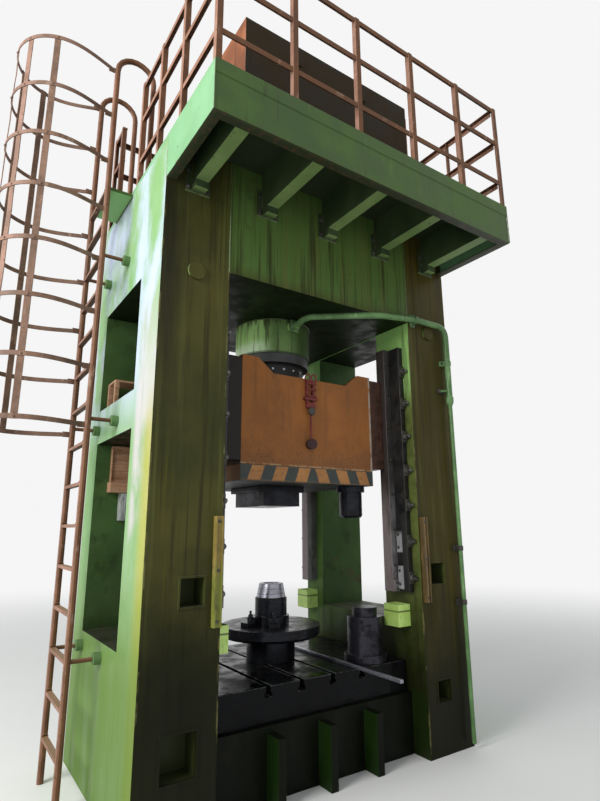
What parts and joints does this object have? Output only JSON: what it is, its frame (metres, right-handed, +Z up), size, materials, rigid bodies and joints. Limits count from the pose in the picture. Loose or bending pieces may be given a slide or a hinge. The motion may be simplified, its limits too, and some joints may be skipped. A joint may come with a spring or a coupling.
{
  "type": "hydraulic press",
  "caption": "Tall green hydraulic press with a guided orange slide, windowed uprights, a T-slotted bolster and a railed roof walkway reached by a caged ladder.",
  "frame": {"origin": "centre of the frame's footprint, on the floor", "axes": "+Z up, +X to the operator's right, the operator stands at -Y"},
  "size_m": [3.8535, 2.4968, 6.2006],
  "materials": {
    "frame_green": "glossy apple-green paint, oil-streaked",
    "walkway_green": "green paint, scuffed",
    "cylinder_green": "green paint with oil drips",
    "pipe_green": "light green paint",
    "pan_green": "yellow-green paint",
    "slide_orange": "dull orange paint",
    "rail_orange": "rust-orange primer",
    "tank_brown": "matt brown primer",
    "lock_red": "dark red paint",
    "dark_gib": "oiled black steel",
    "way_steel": "ground steel",
    "ram_chrome": "ground and chromed",
    "gland_steel": "oiled dark steel",
    "bolster_steel": "oiled machined steel",
    "die_steel": "oiled tool steel",
    "ring_steel": "bright turned steel",
    "plate_dark": "dark oiled steel",
    "box_grey": "light grey paint",
    "guard_orange": "orange paint"
  },
  "bodies": {
    "frame": {"upright_left": "frame_green", "upright_right": "frame_green", "crown": "frame_green", "bed": "frame_green", "bolster": "bolster_steel", "main_cylinder": "cylinder_green", "gland_ring": "gland_steel", "die_base": "die_steel", "die_body": "die_steel", "die_ring": "ring_steel", "die_clamp_1": "die_steel", "die_clamp_2": "die_steel", "spare_die": "die_steel", "slot_bar": "ring_steel", "deck": "walkway_green", "fascia": "walkway_green", "railing_front": "rail_orange", "railing_rear": "rail_orange", "railing_left": "rail_orange", "railing_right": "rail_orange", "ladder": "rail_orange", "gooseneck_front": "rail_orange", "gooseneck_rear": "rail_orange", "ladder_cage": "rail_orange", "landing": "walkway_green", "oil_tank": "tank_brown", "filler_cap": "dark_gib", "oil_pipe": "pipe_green", "guard_bar_left": "guard_orange", "guard_bar_right": "guard_orange", "window_shelf": "guard_orange", "cable_panel": "guard_orange", "junction_box": "box_grey", "deck_beam_1": "walkway_green", "deck_beam_2": "walkway_green", "deck_beam_3": "walkway_green", "deck_beam_4": "walkway_green", "deck_beam_5": "walkway_green", "way_front_left": "way_steel", "gib_front_left": "dark_gib", "drip_pan_front_left": "pan_green", "way_front_right": "way_steel", "gib_front_right": "dark_gib", "drip_pan_front_right": "pan_green", "way_rear_left": "way_steel", "gib_rear_left": "dark_gib", "drip_pan_rear_left": "pan_green", "way_rear_right": "way_steel", "gib_rear_right": "dark_gib", "drip_pan_rear_right": "pan_green"},
    "slide": {"ram": "ram_chrome", "slide": "slide_orange", "slide_plate": "plate_dark", "slide_lock": "lock_red", "upper_die": "plate_dark", "upper_punch": "die_steel", "shoe_front_left": "lock_red", "shoe_front_right": "lock_red", "shoe_rear_left": "lock_red", "shoe_rear_right": "lock_red"}
  },
  "joints": [
    {"name": "slide_stroke", "type": "slide", "parent": "frame", "child": "slide", "axis": [0, 0, 1], "range_m": [-0.62, 0]}
  ]
}
